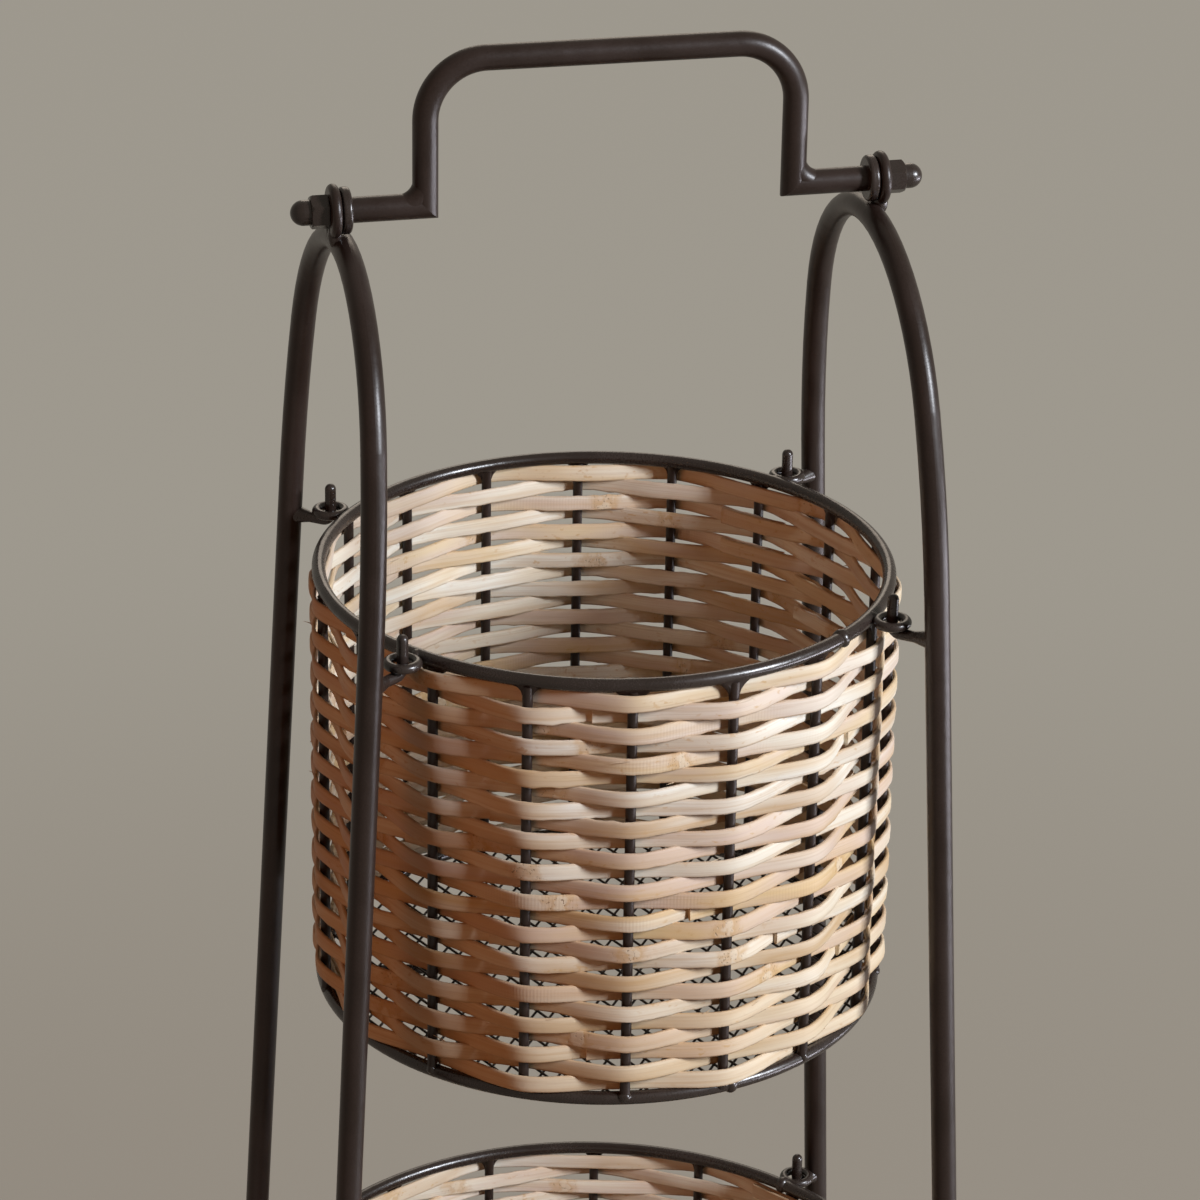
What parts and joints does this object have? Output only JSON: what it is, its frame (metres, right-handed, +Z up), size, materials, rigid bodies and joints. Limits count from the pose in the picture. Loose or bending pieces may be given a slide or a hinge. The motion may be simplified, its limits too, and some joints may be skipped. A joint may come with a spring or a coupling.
{
  "type": "three-tier caddy",
  "caption": "Tall carrying caddy: tiers of round woven baskets, wider towards the floor, hung on pins between leaning round-bar hoops, with a swinging handle on top.",
  "frame": {"origin": "on the floor, under the middle of the baskets", "axes": "+Z up, X from the left hoop to the right hoop, -Y towards the front"},
  "size_m": [0.3632, 0.3598, 1.2735],
  "materials": {
    "bronze": "dark brown-black bronze coat on steel bar, satin, a little uneven, brighter at the welds",
    "rattan": "natural split rattan, unlacquered, ivory to tan, with fine lengthwise grain and dark nodes",
    "glide": "matt black moulded glides"
  },
  "bodies": {
    "frame": {"left_hoop": "bronze", "right_hoop": "bronze", "left_pivot_eye": "bronze", "right_pivot_eye": "bronze", "top_tier_pins": "bronze", "middle_tier_pins": "bronze", "bottom_tier_pins": "bronze", "floor_glides": "glide"},
    "handle": {"handle_bar": "bronze", "pivot_studs": "bronze", "pivot_washers": "bronze", "acorn_nuts": "bronze"},
    "top_basket": {"top_basket_upper_rim": "bronze", "top_basket_lower_rim": "bronze", "top_basket_staves": "bronze", "top_basket_rings": "bronze", "top_basket_weave": "rattan", "top_basket_floor": "bronze", "top_basket_floor_bar": "bronze"},
    "middle_basket": {"middle_basket_upper_rim": "bronze", "middle_basket_lower_rim": "bronze", "middle_basket_staves": "bronze", "middle_basket_rings": "bronze", "middle_basket_weave": "rattan", "middle_basket_floor": "bronze", "middle_basket_floor_bar": "bronze"},
    "bottom_basket": {"bottom_basket_upper_rim": "bronze", "bottom_basket_lower_rim": "bronze", "bottom_basket_staves": "bronze", "bottom_basket_rings": "bronze", "bottom_basket_weave": "rattan", "bottom_basket_floor": "bronze", "bottom_basket_floor_bar": "bronze"}
  },
  "joints": [
    {"name": "handle_swing", "type": "hinge", "parent": "frame", "child": "handle", "pos_m": [0, 0, 1.205], "axis": [1, 0, 0], "continuous": true},
    {"name": "top_basket_lift", "type": "slide", "parent": "frame", "child": "top_basket", "axis": [0, 0, 1], "range_m": [0, 0.022]},
    {"name": "middle_basket_lift", "type": "slide", "parent": "frame", "child": "middle_basket", "axis": [0, 0, 1], "range_m": [0, 0.022]},
    {"name": "bottom_basket_lift", "type": "slide", "parent": "frame", "child": "bottom_basket", "axis": [0, 0, 1], "range_m": [0, 0.022]}
  ]
}
